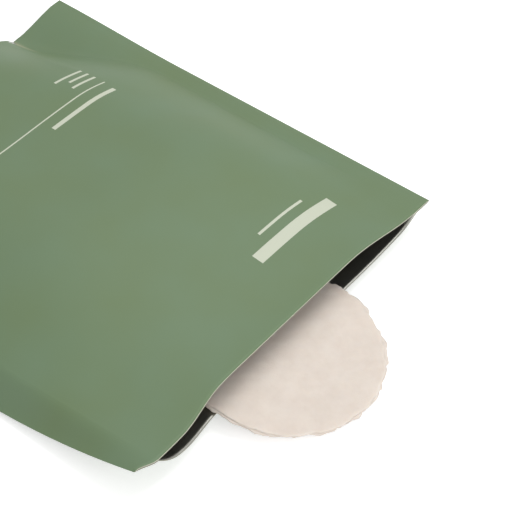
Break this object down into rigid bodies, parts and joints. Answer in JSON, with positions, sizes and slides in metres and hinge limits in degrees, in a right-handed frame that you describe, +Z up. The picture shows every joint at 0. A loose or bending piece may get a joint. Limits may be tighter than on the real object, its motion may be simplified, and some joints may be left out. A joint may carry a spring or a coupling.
{
  "type": "cosmetic pad refill pouch",
  "caption": "Opened film refill pouch with a folded bottom gusset, lying on its back with a round cotton pad pulled half out of the mouth and more pads stacked inside.",
  "frame": {"origin": "centre of the base of the overall box, on the floor", "axes": "+X across the pouch, +Y along it from the open mouth to the gusset, +Z up out of the front panel"},
  "size_m": [0.158, 0.2022, 0.026],
  "materials": {
    "pouch_film": "matte printed film, mirror-like foil on the inside",
    "cotton_pad": "damp non-woven cotton"
  },
  "bodies": {
    "root": {"pouch": "pouch_film", "pad_pulled_out": "cotton_pad", "pad_01": "cotton_pad", "pad_02": "cotton_pad", "pad_03": "cotton_pad", "pad_04": "cotton_pad", "pad_05": "cotton_pad", "pad_06": "cotton_pad", "pad_07": "cotton_pad", "pad_08": "cotton_pad", "pad_09": "cotton_pad", "pad_10": "cotton_pad", "pad_11": "cotton_pad", "pad_12": "cotton_pad", "pad_13": "cotton_pad", "pad_14": "cotton_pad", "pad_15": "cotton_pad", "pad_16": "cotton_pad"}
  },
  "joints": []
}
